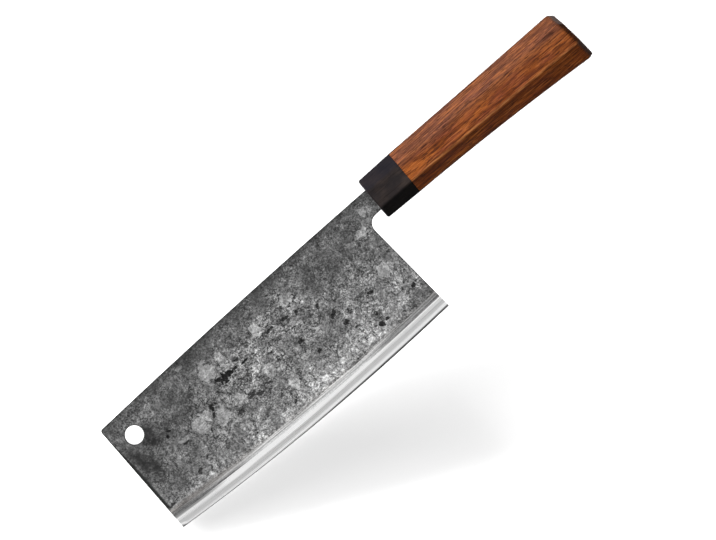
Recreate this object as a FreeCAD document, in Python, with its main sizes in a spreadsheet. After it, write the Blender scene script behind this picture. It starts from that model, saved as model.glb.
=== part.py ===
import FreeCAD, Part
import math
import os
import Sketcher

# A kitchen cleaver with a three-layer forged blade and an eight-sided wooden handle on a hidden tang.
# It is drawn with the spine's rear end, where the neck enters the ferrule, at the origin:
# X runs along the spine towards the handle, Y rises towards the spine and Z is the thickness.

Vector = FreeCAD.Vector

# Driving dimensions in millimetres, with degrees where a name ends in rake or droop
SIZES = {
    # Blade seen from its side
    "blade_length": 186.0,
    "spine_crown": 0.94,
    "front_rake": 1.25,
    "front_corner_radius": 1.5,
    "belly_depth": 74.0,
    "belly_setback": 40.7,
    "belly_radius": 1380.0,
    "heel_setback": 10.0,
    "heel_rake": 2.3,
    "choil_radius": 5.7,
    "neck_height": 13.0,
    # Blade in section
    "spine_thickness": 3.0,
    "front_thickness": 2.6,
    "shoulder_thickness": 1.7,
    "core_thickness": 1.2,
    "bevel_height": 10.4,
    "edge_bevel_height": 1.0,
    "edge_bevel_thickness": 0.34,
    "face_margin": 1.0,
    # Hanging hole
    "hole_diameter": 10.0,
    "hole_setback": 11.9,
    "hole_drop": 13.5,
    # Tang inside the handle
    "shoulder_clearance": 1.0,
    "tang_length": 88.0,
    "tang_root_height": 9.5,
    "tang_tip_height": 6.0,
    "tang_root_thickness": 2.6,
    "tang_tip_thickness": 2.0,
    "notch_diameter": 2.4,
    # Handle and its eight-sided sections
    "handle_droop": 2.0,
    "handle_length": 134.7,
    "ferrule_length": 21.3,
    "waist_setback": 63.0,
    "mouth_crown": 12.4,
    "mouth_belly": 12.1,
    "mouth_half_width": 10.2,
    "mouth_upper_bevel": 6.9,
    "mouth_lower_bevel": 6.5,
    "mouth_side_bevel": 6.2,
    "seam_crown": 13.05,
    "seam_belly": 12.4,
    "seam_half_width": 10.6,
    "seam_upper_bevel": 7.1,
    "seam_lower_bevel": 7.0,
    "seam_side_bevel": 6.5,
    "waist_crown": 13.6,
    "waist_belly": 13.0,
    "waist_half_width": 11.2,
    "waist_upper_bevel": 7.4,
    "waist_lower_bevel": 7.4,
    "waist_side_bevel": 6.8,
    "butt_crown": 14.9,
    "butt_belly": 16.5,
    "butt_half_width": 12.5,
    "butt_upper_bevel": 7.0,
    "butt_lower_bevel": 10.2,
    "butt_side_bevel": 7.4,
    "butt_rake": 6.0,
    "end_chamfer": 2.8,
    "end_crown_inset": 2.3,
    "end_belly_inset": 1.0,
    "end_side_inset": 1.7,
    "mouth_arris": 0.7,
    # Joint between ferrule, grip and tang
    "front_wall": 6.0,
    "dowel_diameter": 14.0,
    "dowel_end_wall": 6.8,
    "glue_gap": 0.1,
    "bed_gap": 0.4,
    # How far every cutting shape runs past what it cuts
    "overrun": 1.0,
}

# Where the notches that key the epoxy lie between the tang's root and its tip
NOTCH_SHARES = (0.3, 0.55, 0.8)

doc = FreeCAD.newDocument("cleaver")
sheet = doc.addObject("Spreadsheet::Sheet", "Sizes")
for row, (alias, size) in enumerate(SIZES.items(), start=1):
    sheet.set("A%d" % row, alias)
    sheet.set("B%d" % row, str(size))
    sheet.setAlias("B%d" % row, alias)
doc.recompute()


def number(expression):
    """What an expression in the sheet's sizes comes to."""
    result = sheet.evalExpression(expression)
    return float(getattr(result, "Value", result))


def lean(axis, angle):
    """A turn about one of a sketch's own axes, X or Y."""
    return "rotation(vector(%s); %s)" % ({"X": "1; 0; 0", "Y": "0; 1; 0"}[axis], angle)


def sketch_on(body, name, role, offset="0", turn=lean("Y", "0"), along="0"):
    """A sketch on one of the body's planes, moved along its normal and its first axis, and turned."""
    sketch = body.newObject("Sketcher::SketchObject", name)
    plane = [feature for feature in body.Origin.OriginFeatures if feature.Role == role][0]
    sketch.AttachmentSupport = (plane, [""])
    sketch.MapMode = "FlatFace"
    sketch.setExpression("AttachmentOffset", "placement(vector(%s; 0; %s); %s)" % (along, offset, turn))
    return sketch


def bind(sketch, kind, *arguments):
    """A dimension of the sketch that follows an expression, its last argument."""
    expression = arguments[-1]
    index = sketch.addConstraint(Sketcher.Constraint(kind, *arguments[:-1], number(expression)))
    sketch.setExpression("Constraints[%d]" % index, expression)


def arc_between(start, end, radius, turn):
    """The short arc from start to end, turning left for turn 1 and right for turn -1."""
    chord = end - start
    leftward = Vector(-chord.y, chord.x, 0).normalize()
    reach = math.sqrt(radius ** 2 - chord.Length ** 2 / 4)
    circle = Part.Circle((start + end) / 2 + leftward * turn * reach, Vector(0, 0, 1), radius)
    first, last = (start, end) if turn > 0 else (end, start)
    return Part.ArcOfCircle(circle, circle.parameter(first), circle.parameter(last))


def outline(sketch, corners, arcs=None):
    """A closed outline through corners written as expressions.

    arcs gives the side that leaves a corner a radius and the way that it turns.
    """
    arcs = arcs or {}
    points = [Vector(number(across), number(up), 0) for across, up in corners]
    sides = []
    for index, start in enumerate(points):
        end = points[(index + 1) % len(points)]
        if index in arcs:
            radius, turn = arcs[index]
            side = sketch.addGeometry(arc_between(start, end, number(radius), turn))
            sides.append((side, 1, 2) if turn > 0 else (side, 2, 1))
        else:
            sides.append((sketch.addGeometry(Part.LineSegment(start, end)), 1, 2))
    for index, (side, start, end) in enumerate(sides):
        following, first, _ = sides[(index + 1) % len(sides)]
        sketch.addConstraint(Sketcher.Constraint("Coincident", side, end, following, first))
    for (side, start, _), (across, up) in zip(sides, corners):
        bind(sketch, "DistanceX", -1, 1, side, start, across)
        bind(sketch, "DistanceY", -1, 1, side, start, up)
    for index, (radius, _) in arcs.items():
        bind(sketch, "Radius", sides[index][0], radius)


def rectangle(sketch, left, right, low, high):
    outline(sketch, [(left, low), (right, low), (right, high), (left, high)])


def circle(sketch, across, up, diameter):
    centre = Vector(number(across), number(up), 0)
    ring = sketch.addGeometry(Part.Circle(centre, Vector(0, 0, 1), number(diameter) / 2))
    bind(sketch, "DistanceX", -1, 1, ring, 3, across)
    bind(sketch, "DistanceY", -1, 1, ring, 3, up)
    bind(sketch, "Diameter", ring, diameter)


def pad(body, name, sketch, length, symmetric=False):
    feature = body.newObject("PartDesign::Pad", name)
    feature.Profile = sketch
    feature.SideType = "Symmetric" if symmetric else "One side"
    feature.setExpression("Length", length)
    return feature


def pocket(body, name, sketch, depth, forward=False):
    """A blind cut, back against the sketch's normal or forward along it."""
    feature = body.newObject("PartDesign::Pocket", name)
    feature.Profile = sketch
    feature.Reversed = forward
    feature.setExpression("Length", depth)


def drill_through(body, name, sketch):
    feature = body.newObject("PartDesign::Pocket", name)
    feature.Profile = sketch
    feature.SideType = "Symmetric"
    feature.Type = "ThroughAll"


def loft(body, name, sections, ruled=True):
    feature = body.newObject("PartDesign::AdditiveLoft", name)
    feature.Profile = sections[0]
    feature.Sections = sections[1:]
    feature.Ruled = ruled


# Lines that several pieces share

NECK_END = "(Sizes.front_wall - Sizes.shoulder_clearance)"
DOWEL_START = "(Sizes.front_wall + Sizes.glue_gap)"
SLOT_END = "(Sizes.tang_length + Sizes.bed_gap)"
DOWEL_END = "(%s + Sizes.dowel_end_wall)" % SLOT_END
BELOW_EDGE = "(Sizes.belly_depth + Sizes.overrun)"
ABOVE_SPINE = "(Sizes.spine_crown + Sizes.overrun)"


# Blade layers: core of hard steel and a softer cladding on each side, cut to one outline

def blade_outline(sketch):
    """Spine, neck, choil, heel and front end. The bottom lies below the edge, which the bevels make."""
    front = "-Sizes.blade_length"
    front_foot = "-Sizes.blade_length - %s * tan(Sizes.front_rake)" % BELOW_EDGE
    choil_foot = "(Sizes.neck_height + Sizes.choil_radius)"
    heel_foot = "-Sizes.heel_setback + (%s - %s) * tan(Sizes.heel_rake)" % (BELOW_EDGE, choil_foot)
    spine_radius = "(Sizes.blade_length ^ 2 / 4 + Sizes.spine_crown ^ 2) / (2 * Sizes.spine_crown)"
    corners = [
        ("0", "0"),
        (front, "0"),
        (front_foot, "-" + BELOW_EDGE),
        (heel_foot, "-" + BELOW_EDGE),
        ("-Sizes.heel_setback", "-" + choil_foot),
        ("-Sizes.heel_setback + Sizes.choil_radius", "-Sizes.neck_height"),
        (NECK_END, "-Sizes.neck_height"),
        (NECK_END, "0"),
    ]
    outline(sketch, corners, {0: (spine_radius, 1), 4: ("Sizes.choil_radius", -1)})


def round_front_corner(body, blank):
    """The corner where the spine meets the front end is eased."""
    doc.recompute()
    front = -number("Sizes.blade_length")
    closeness = blank.Shape.getTolerance(1)
    names = []
    for index, edge in enumerate(blank.Shape.Edges, start=1):
        if all(math.hypot(end.X - front, end.Y) < closeness for end in edge.Vertexes):
            names.append("Edge%d" % index)
    corner = body.newObject("PartDesign::Fillet", "front_corner")
    corner.Base = (blank, names)
    corner.setExpression("Radius", "Sizes.front_corner_radius")


def forged_faces(body):
    """The outer face falls from the spine to the bevel and from the neck to the front end.

    The neck's own face falls towards the bevel only, so the blade's flat ends just short of the ferrule.
    """
    distal = "(Sizes.spine_thickness - Sizes.front_thickness) / 2 / Sizes.blade_length"
    at_belly = "(Sizes.spine_thickness / 2 - %s * Sizes.belly_setback)" % distal
    slope = "(%s - Sizes.shoulder_thickness / 2) / (Sizes.belly_depth - Sizes.bevel_height)" % at_belly
    wedge = lean("X", "atan(%s)" % slope)
    planes = [
        ("blade_face", "Sizes.spine_thickness / 2", lean("Y", "-atan(%s)" % distal) + " * " + wedge),
        ("neck_face", "Sizes.spine_thickness / 2 - %s * Sizes.face_margin" % distal, wedge),
    ]
    front_reach = "-(Sizes.blade_length + Sizes.belly_depth * tan(Sizes.front_rake) + Sizes.overrun)"
    rear_reach = NECK_END + " + Sizes.overrun"
    for name, height, turn in planes:
        section = sketch_on(body, name + "_plane", "XY_Plane", height, turn)
        rectangle(section, front_reach, rear_reach, "-%s - Sizes.overrun" % BELOW_EDGE, ABOVE_SPINE)
        pocket(body, name, section, "Sizes.spine_thickness", forward=True)


def ground_bevels(body):
    """Both main bevels and the small edge bevels, ground round the belly's own centre.

    The ground region is one outline round the edge, turned about an upright axis far above the blade.
    """
    half_edge = "Sizes.edge_bevel_thickness / 2"
    slope = "(Sizes.shoulder_thickness - Sizes.edge_bevel_thickness) / 2"
    slope += " / (Sizes.bevel_height - Sizes.edge_bevel_height)"
    reach = "(2 * Sizes.bevel_height)"
    top = "(%s + %s * (%s - Sizes.edge_bevel_height))" % (half_edge, slope, reach)
    outside = "(%s + Sizes.overrun)" % top
    swept_rise = "Sizes.blade_length ^ 2 / Sizes.belly_radius"
    one_side = [
        ("-Sizes.belly_depth + Sizes.edge_bevel_height", half_edge),
        ("-Sizes.belly_depth + " + reach, top),
        ("-Sizes.belly_depth + " + reach, outside),
        ("-%s - %s" % (BELOW_EDGE, swept_rise), outside),
    ]
    other_side = [(across, "-(%s)" % up) for across, up in reversed(one_side)]
    section = sketch_on(body, "bevel_section", "YZ_Plane", "-Sizes.belly_setback")
    outline(section, [("-Sizes.belly_depth", "0")] + one_side + other_side)
    centre = "Sizes.belly_radius - Sizes.belly_depth"
    foot = Vector(number(centre), 0, 0)
    head = Vector(number(centre), number("Sizes.overrun"), 0)
    axis = section.addGeometry(Part.LineSegment(foot, head), True)
    bind(section, "DistanceX", -1, 1, axis, 1, centre)
    bind(section, "DistanceY", -1, 1, axis, 1, "0")
    bind(section, "DistanceX", -1, 1, axis, 2, centre)
    bind(section, "DistanceY", -1, 1, axis, 2, "Sizes.overrun")
    groove = body.newObject("PartDesign::Groove", "ground_bevels")
    groove.Profile = section
    groove.ReferenceAxis = (section, ["Axis0"])
    groove.Midplane = True
    half_sweep = "asin((Sizes.blade_length + Sizes.belly_depth) / Sizes.belly_radius)"
    groove.setExpression("Angle", "2 * " + half_sweep)


def hanging_hole(body):
    section = sketch_on(body, "hole_circle", "XY_Plane")
    station = "-Sizes.blade_length + Sizes.hole_setback"
    circle(section, station, "-Sizes.hole_drop", "Sizes.hole_diameter")
    drill_through(body, "hanging_hole", section)


def tang_edge(tang_share, side):
    """A point on the tang's upper or lower edge, at a share of its length. It droops with the handle."""
    station = "(%s + (Sizes.tang_length - %s) * %s)" % (NECK_END, NECK_END, tang_share)
    middle = "-Sizes.neck_height / 2 - %s * tan(Sizes.handle_droop)" % station
    loss = "(Sizes.tang_root_height - Sizes.tang_tip_height) * %s" % tang_share
    return station, "%s %s (Sizes.tang_root_height - %s) / 2" % (middle, side, loss)


def tang(body, base, thickness, symmetric=False):
    """The tang narrows towards its tip."""
    profile = sketch_on(body, "tang_profile", "XY_Plane", base)
    outline(profile, [tang_edge(0, "-"), tang_edge(1, "-"), tang_edge(1, "+"), tang_edge(0, "+")])
    pad(body, "tang", profile, thickness, symmetric)


def thinned_tang(body):
    """The tang's outer face falls towards its tip."""
    fall = "(Sizes.tang_root_thickness - Sizes.tang_tip_thickness) / 2"
    slope = lean("Y", "atan(%s / (Sizes.tang_length - %s))" % (fall, NECK_END))
    height = "Sizes.tang_root_thickness / 2"
    plane = sketch_on(body, "tang_face_plane", "XY_Plane", height, slope, NECK_END)
    low = "-Sizes.neck_height - Sizes.tang_length * tan(Sizes.handle_droop)"
    rectangle(plane, "0", "Sizes.tang_length", low, "0")
    pocket(body, "tang_face", plane, "Sizes.tang_root_thickness", forward=True)


def tang_notches(body):
    """Round notches in both edges key the tang in its bed."""
    circles = sketch_on(body, "notch_circles", "XY_Plane")
    for notch_share in NOTCH_SHARES:
        for side in "+-":
            circle(circles, *tang_edge(notch_share, side), "Sizes.notch_diameter")
    drill_through(body, "notches", circles)


core = doc.addObject("PartDesign::Body", "core_steel")
core_profile = sketch_on(core, "profile", "XY_Plane")
blade_outline(core_profile)
round_front_corner(core, pad(core, "plate", core_profile, "Sizes.core_thickness", symmetric=True))
ground_bevels(core)
hanging_hole(core)
tang(core, "0", "Sizes.core_thickness", symmetric=True)
tang_notches(core)

cladding_left = doc.addObject("PartDesign::Body", "cladding_left")
left_profile = sketch_on(cladding_left, "profile", "XY_Plane", "Sizes.core_thickness / 2")
blade_outline(left_profile)
round_front_corner(cladding_left, pad(cladding_left, "plate", left_profile, "Sizes.spine_thickness / 2"))
forged_faces(cladding_left)
ground_bevels(cladding_left)
hanging_hole(cladding_left)
tang(cladding_left, "Sizes.core_thickness / 2", "(Sizes.tang_root_thickness - Sizes.core_thickness) / 2")
thinned_tang(cladding_left)
tang_notches(cladding_left)

cladding_right = doc.addObject("Part::Mirroring", "cladding_right")
cladding_right.Source = cladding_left


# Handle: drawn along its own axis, which starts in the middle of the neck at the ferrule's front

def octagon(body, name, station, section, insets=("0", "0", "0"), turn=lean("Y", "0")):
    """An eight-sided section with its own crown, belly, width and bevels, drawn in by the insets."""
    crown_inset, belly_inset, side_inset = insets
    crown = "(Sizes.%s_crown - %s)" % (section, crown_inset)
    belly = "(Sizes.%s_belly - %s)" % (section, belly_inset)
    half_width = "(Sizes.%s_half_width - %s)" % (section, side_inset)
    upper = "%s - Sizes.%s_upper_bevel" % (crown, section)
    lower = "-(%s - Sizes.%s_lower_bevel)" % (belly, section)
    facet = "(%s - Sizes.%s_side_bevel)" % (half_width, section)
    left = [(crown, facet), (upper, half_width), (lower, half_width), ("-" + belly, facet)]
    right = [(across, "-" + up) for across, up in reversed(left)]
    sketch = sketch_on(body, name, "YZ_Plane", station, turn)
    outline(sketch, left + right)
    return sketch


def mouth_rectangle(sketch):
    """The opening that the neck enters, with room for the bed round it."""
    half_height = "(Sizes.neck_height / 2 + Sizes.bed_gap)"
    half_thickness = "(Sizes.spine_thickness / 2 + Sizes.bed_gap)"
    rectangle(sketch, "-" + half_height, half_height, "-" + half_thickness, half_thickness)


def slot_rectangle(sketch):
    """The slot that the tang enters, with room for the bed round it."""
    half_height = "(Sizes.tang_root_height / 2 + Sizes.bed_gap)"
    half_thickness = "(Sizes.tang_root_thickness / 2 + Sizes.bed_gap)"
    rectangle(sketch, "-" + half_height, half_height, "-" + half_thickness, half_thickness)


def bore(body, depth, forward):
    """The dowel's blind hole, from the seam."""
    section = sketch_on(body, "bore_circle", "YZ_Plane", "Sizes.ferrule_length")
    circle(section, "0", "0", "Sizes.dowel_diameter + 2 * Sizes.glue_gap")
    pocket(body, "dowel_bore", section, depth, forward)


ferrule = doc.addObject("PartDesign::Body", "ferrule")
arris_front = octagon(ferrule, "arris_front", "0", "mouth", ("Sizes.mouth_arris",) * 3)
arris_rear = octagon(ferrule, "arris_rear", "Sizes.mouth_arris", "mouth")
collar_start = octagon(ferrule, "mouth_section", "Sizes.mouth_arris", "mouth")
collar_end = octagon(ferrule, "seam_section", "Sizes.ferrule_length", "seam")
loft(ferrule, "arris", [arris_front, arris_rear])
loft(ferrule, "collar", [collar_start, collar_end])
bore(ferrule, "Sizes.ferrule_length - Sizes.front_wall", forward=False)
mouth = sketch_on(ferrule, "mouth_slot", "YZ_Plane")
mouth_rectangle(mouth)
pocket(ferrule, "mouth", mouth, "Sizes.front_wall", forward=True)

grip = doc.addObject("PartDesign::Body", "grip")
BUTT_STATION = "Sizes.handle_length - Sizes.end_chamfer"
END_INSETS = ("Sizes.end_crown_inset", "Sizes.end_belly_inset", "Sizes.end_side_inset")
BUTT_TURN = lean("Y", "Sizes.butt_rake")
grip_start = octagon(grip, "seam_section", "Sizes.ferrule_length", "seam")
waist = octagon(grip, "waist_section", "Sizes.waist_setback", "waist")
butt = octagon(grip, "butt_section", BUTT_STATION, "butt", turn=BUTT_TURN)
end_start = octagon(grip, "end_start", BUTT_STATION, "butt", turn=BUTT_TURN)
end_face = octagon(grip, "end_face", "Sizes.handle_length", "butt", END_INSETS, BUTT_TURN)
loft(grip, "flared_grip", [grip_start, waist, butt], ruled=False)
loft(grip, "butt_chamfer", [end_start, end_face])
bore(grip, "%s + Sizes.glue_gap - Sizes.ferrule_length" % DOWEL_END, forward=True)


# Split dowel: each half has half of the tang's slot in its flat side

dowel_left = doc.addObject("PartDesign::Body", "dowel_left")
half_round = sketch_on(dowel_left, "half_round", "YZ_Plane", DOWEL_START)
radius = "Sizes.dowel_diameter / 2"
half_circle = {0: (radius, -1), 1: (radius, -1)}
outline(half_round, [("-" + radius, "0"), ("0", radius), (radius, "0")], half_circle)
pad(dowel_left, "half_dowel", half_round, "%s - %s" % (DOWEL_END, DOWEL_START))
slot = sketch_on(dowel_left, "tang_slot", "YZ_Plane", DOWEL_START)
slot_rectangle(slot)
pocket(dowel_left, "half_slot", slot, "%s - %s" % (SLOT_END, DOWEL_START), forward=True)

dowel_right = doc.addObject("Part::Mirroring", "dowel_right")
dowel_right.Source = dowel_left


# Epoxy bed: fills the mouth and the slot, less what the neck and the tang take up

bed_blank = doc.addObject("PartDesign::Body", "bed_blank")
mouth_fill = sketch_on(bed_blank, "mouth_fill", "YZ_Plane")
mouth_rectangle(mouth_fill)
pad(bed_blank, "mouth_bed", mouth_fill, "Sizes.front_wall")
slot_fill = sketch_on(bed_blank, "slot_fill", "YZ_Plane", "Sizes.front_wall")
slot_rectangle(slot_fill)
pad(bed_blank, "slot_bed", slot_fill, "%s - Sizes.front_wall" % SLOT_END)

tang_bedding = bed_blank
for layer in (core, cladding_left, cladding_right):
    shaped = doc.addObject("Part::Cut", "bed_round_" + layer.Name)
    shaped.Base = tang_bedding
    shaped.Tool = layer
    tang_bedding = shaped
tang_bedding.Label = "tang_bedding"


# Placing: the handle on the neck, then the knife on its side with the middle of its box over the origin

on_neck = FreeCAD.Placement(
    Vector(0, -number("Sizes.neck_height / 2"), 0),
    FreeCAD.Rotation(Vector(0, 0, 1), -number("Sizes.handle_droop")),
)
handle_bodies = [ferrule, grip, dowel_left, bed_blank]
for body in handle_bodies:
    body.Placement = on_neck
doc.recompute()

parts = [core, cladding_left, cladding_right, ferrule, grip, dowel_left, dowel_right, tang_bedding]
box = FreeCAD.BoundBox()
for part in parts:
    box.add(part.Shape.optimalBoundingBox(False, False))
lying = FreeCAD.Placement(Vector(-box.Center.x, -box.Center.y, -box.ZMin), FreeCAD.Rotation())
for body in [core, cladding_left] + handle_bodies:
    body.Placement = lying.multiply(body.Placement)
for mirrored in (cladding_right, dowel_right):
    mirrored.Base = lying.Base
doc.recompute()


# Checking: every feature is sound, every cut removes something and every piece is one solid

CUTS = ("PartDesign::Pocket", "PartDesign::Groove")
for item in doc.Objects:
    if "Invalid" in item.State or "Error" in item.State:
        raise RuntimeError("%s failed: %s" % (item.Name, item.State))
    if item.TypeId in CUTS and item.Shape.Volume >= item.BaseFeature.Shape.Volume:
        raise RuntimeError("%s cut nothing" % item.Name)
for part in parts:
    if part.Shape.isNull() or not part.Shape.isValid() or len(part.Shape.Solids) != 1:
        raise RuntimeError("%s is not one sound solid" % part.Label)

os.makedirs("parts", exist_ok=True)
for part in parts:
    part.Shape.exportStep("parts/%s.step" % part.Label)
    print("%-16s %9.1f mm3" % (part.Label, part.Shape.Volume))
print("middle of the drawing's box: %.4f %.4f, low side %.4f" % (box.Center.x, box.Center.y, box.ZMin))
print("size of the box: %.3f x %.3f x %.3f" % (box.XLength, box.YLength, box.ZLength))
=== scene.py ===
import bmesh
import bpy
import math
import random
from functools import partialmethod
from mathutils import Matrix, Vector, noise


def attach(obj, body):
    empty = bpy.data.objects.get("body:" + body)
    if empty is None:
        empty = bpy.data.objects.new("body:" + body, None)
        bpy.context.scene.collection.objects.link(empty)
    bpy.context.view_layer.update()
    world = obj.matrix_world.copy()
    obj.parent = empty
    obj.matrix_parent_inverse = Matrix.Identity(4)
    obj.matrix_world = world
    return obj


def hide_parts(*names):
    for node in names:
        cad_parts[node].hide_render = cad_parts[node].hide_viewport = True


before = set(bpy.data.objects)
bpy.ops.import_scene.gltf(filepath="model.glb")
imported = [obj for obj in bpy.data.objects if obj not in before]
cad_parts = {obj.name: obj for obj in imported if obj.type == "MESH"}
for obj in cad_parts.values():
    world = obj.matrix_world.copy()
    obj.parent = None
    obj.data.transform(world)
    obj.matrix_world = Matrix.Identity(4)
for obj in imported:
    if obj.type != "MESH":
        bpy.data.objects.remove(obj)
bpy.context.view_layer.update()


# Core steel. The hard middle layer of the blade, forge-welded between two softer ones, which runs on as the
# tang. It shows as the bright strip that the grinding lays bare along the edge, and as a dark line along
# the spine.

# Where the spine meets the ferrule, in the shared frame. Sizes on the knife are in millimetres from there.
knife_origin = Vector((0.0258724, 0.034066, 0.0125))
millimetre = 0.001

# The cutting edge is an arc about a centre far above the blade
belly_radius = 1380
belly_centre = (-40.7, 1306)

# How light the ground steel looks at shares of its height over the edge: polish and painted reflection
ground_height = 8
ground_and_reflection_tones = [(0, 0.6), (0.07, 0.66), (0.13, 0.94), (0.2, 1.02), (0.28, 0.93), (0.38, 0.8), (0.56, 0.79)]
ground_and_reflection_tones += [(0.66, 0.94), (0.76, 1.08), (0.88, 1.04)]


class Pattern:
    """What a node puts out. A finish is reckoned from patterns as if they were numbers, places or colours."""

    def __init__(self, tree, output):
        self.tree = tree
        self.output = output

    def then(self, kind, feeds, output=0, **settings):
        """What a further node of the same tree puts out."""
        return Pattern(self.tree, add(self.tree, kind, feeds, **settings).outputs[output])

    def reckon(self, operation, other=0):
        """A sum with another pattern or a plain number."""
        return self.then("ShaderNodeMath", {0: self, 1: other}, operation=operation)

    def __rsub__(self, number):
        return self.then("ShaderNodeMath", {0: number, 1: self}, operation="SUBTRACT")

    __add__ = partialmethod(reckon, "ADD")
    __sub__ = partialmethod(reckon, "SUBTRACT")
    __mul__ = partialmethod(reckon, "MULTIPLY")
    __truediv__ = partialmethod(reckon, "DIVIDE")
    __abs__ = partialmethod(reckon, "ABSOLUTE")
    larger = partialmethod(reckon, "MAXIMUM")
    power = partialmethod(reckon, "POWER")
    sign = partialmethod(reckon, "SIGN")

    def step(self, low, high, start=0, end=1):
        """Goes softly from start to end while the pattern goes from low to high."""
        feeds = {"Value": self, "From Min": low, "From Max": high, "To Min": start, "To Max": end}
        return self.then("ShaderNodeMapRange", feeds, interpolation_type="SMOOTHSTEP")

    def swing(self, amount):
        """A pattern from 0 to 1 made to swing by an amount about nothing."""
        return (self - 0.5) * amount

    def mix(self, first, second):
        """From the first number to the second, by the pattern's share."""
        return self.then("ShaderNodeMix", {0: self, 2: first, 3: second}, data_type="FLOAT")

    def tint(self, first, second, blend_type="MIX"):
        """From the first colour to the second, by the pattern's share."""
        feeds = {0: self, 6: painted(first), 7: painted(second)}
        return self.then("ShaderNodeMix", feeds, 2, data_type="RGBA", blend_type=blend_type)

    def grey(self):
        """A neutral colour as light as a tone from 0, black, to 1, white, looks in a photograph."""
        light = self.larger(0.02).power(2.2)
        return self.then("ShaderNodeCombineColor", {0: light, 1: light, 2: light})

    def tones(self, steps):
        """A ramp through (place, tone) steps."""
        node = add(self.tree, "ShaderNodeValToRGB", {0: self})
        ramp = node.color_ramp
        while len(ramp.elements) < len(steps):
            ramp.elements.new(1)
        for element, (position, tone) in zip(ramp.elements, steps):
            element.position = position
            element.color = (tone, tone, tone, 1)
        return Pattern(self.tree, node.outputs[0])

    def axes(self):
        node = add(self.tree, "ShaderNodeSeparateXYZ", {0: self})
        return [Pattern(self.tree, output) for output in node.outputs]

    def moved(self, shift, operation="SUBTRACT"):
        """A place measured from another one."""
        return self.then("ShaderNodeVectorMath", {0: self, 1: shift}, operation=operation)

    def stretched(self, sizes):
        """A place squeezed or stretched along each axis."""
        return self.then("ShaderNodeVectorMath", {0: self, 1: sizes}, operation="MULTIPLY")

    def reach(self):
        return self.then("ShaderNodeVectorMath", {0: self}, "Value", operation="LENGTH")

    def cloudy(self, scale, detail=3, roughness=0.5):
        """An uneven pattern from about 0 to 1 over a place."""
        feeds = {"Vector": self, "Scale": scale, "Detail": detail, "Roughness": roughness}
        return self.then("ShaderNodeTexNoise", feeds)

    def mark(self, name):
        """A number that the mesh keeps on its points."""
        return self.then("ShaderNodeAttribute", {}, "Fac", attribute_name=name)

    def bump(self, strength, distance):
        return self.then("ShaderNodeBump", {"Strength": strength, "Distance": distance, "Height": self})


def give(socket, value):
    """Feeds an input with a pattern, or sets it to a plain value."""
    if isinstance(value, Pattern):
        value.tree.links.new(value.output, socket)
    else:
        socket.default_value = value


def add(tree, kind, feeds=None, **settings):
    """A node with its settings and what its inputs are given."""
    node = tree.nodes.new(kind)
    for name, value in settings.items():
        setattr(node, name, value)
    for socket, value in (feeds or {}).items():
        give(node.inputs[socket], value)
    return node


def new_finish(name):
    """A material with its shader, and the place in the object's own coordinates."""
    material = bpy.data.materials.new(name)
    material.use_nodes = True
    tree = material.node_tree
    place = Pattern(tree, add(tree, "ShaderNodeTexCoord").outputs["Object"])
    return material, tree.nodes["Principled BSDF"], place


def feed(shader, **inputs):
    for name, value in inputs.items():
        give(shader.inputs[name.replace("_", " ")], value)


def dress(node_name, finish):
    """Gives one of the CAD pieces its finish."""
    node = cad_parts[node_name]
    node.data.materials.clear()
    node.data.materials.append(finish)


def blade_place(position):
    """Millimetres on the blade. The thickness is stretched further, so that the two sides differ."""
    return position.moved(knife_origin).stretched((1000, 1000, 12000))


def height_over_edge(place):
    """Millimetres up from the cutting edge."""
    arm = place.moved((*belly_centre, 0)).stretched((1, 1, 0))
    return belly_radius - arm.reach()


def grinding_lines(place, height):
    """Fine lines along the edge, left by the stones."""
    along, _, across = place.axes()
    line_place = place.then("ShaderNodeCombineXYZ", {0: along * 0.035, 1: height * 2.6, 2: across})
    return line_place.cloudy(1, 4, 0.65)


def ground_core_finish():
    """Bright and grey bands on the bevel, partly painted reflection, and dark scale where the core shows at
    the spine and ends.
    """
    material, shader, position = new_finish("ground_core")
    place = blade_place(position)
    height = height_over_edge(place)
    lines = grinding_lines(place, height)
    along = place.axes()[0]
    near_heel = along.step(-120, -40)
    middle = along.step(-166, -140) * along.step(-66, -36, 1, 0)

    # The bands lie lower towards the front, and curl at the front's tip
    lowered = along.step(-190, -45, 1.2, 0)
    curled = along.step(-188.5, -182.5, 2.2, 0) * height.step(1, 5, 1, 0)
    band = height + lines.swing(0.9) + lowered - curled
    share = band / ground_height - near_heel * 0.045
    ground = share.tones(ground_and_reflection_tones) + lines.swing(0.22)
    upper_band = share.step(0.58, 0.7)
    ground = ground * upper_band.mix(1, middle.step(0, 1, 0.92, 1.05))

    # A painted shade line along the very edge, and a dull upper border at the front
    edge_line = share.step(0.05, 0.13, 1, 0) * near_heel
    thin_line = near_heel.step(0, 1, 0.45, 0.2)
    ground = ground - edge_line * 0.14 - height.step(0.3, 0.6, thin_line, 0)
    dulled = height.step(5.2, 6.5) * along.step(-172, -150, 0.4, 0)
    ground = ground * (1 - dulled)

    scale_tone = place.cloudy(1.4, 5, 0.7).step(0.3, 0.75, 0.16, 0.36)
    skin = height.step(9, 12.5)
    tone = skin.mix(ground, scale_tone)
    rough = skin.mix(lines.step(0.3, 0.7, 0.24, 0.38), 0.62)
    front_edge = height.step(0.8, 1.4, 0.6, 0) * along.step(-155, -85, 1, 0)
    metal = skin.step(0, 1, 1, 0.5) - front_edge
    feed(shader, Base_Color=tone.grey(), Metallic=metal, Roughness=rough, Normal=lines.bump(0.12, 0.00004))
    return material


dress("core_steel", ground_core_finish())


# Claddings. A layer of soft iron on each side of the core, left as it came from the hammer and the fire: grey
# scale with flaked patches, pits and scratches. Only the strip above the bright steel is ground.

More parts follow.
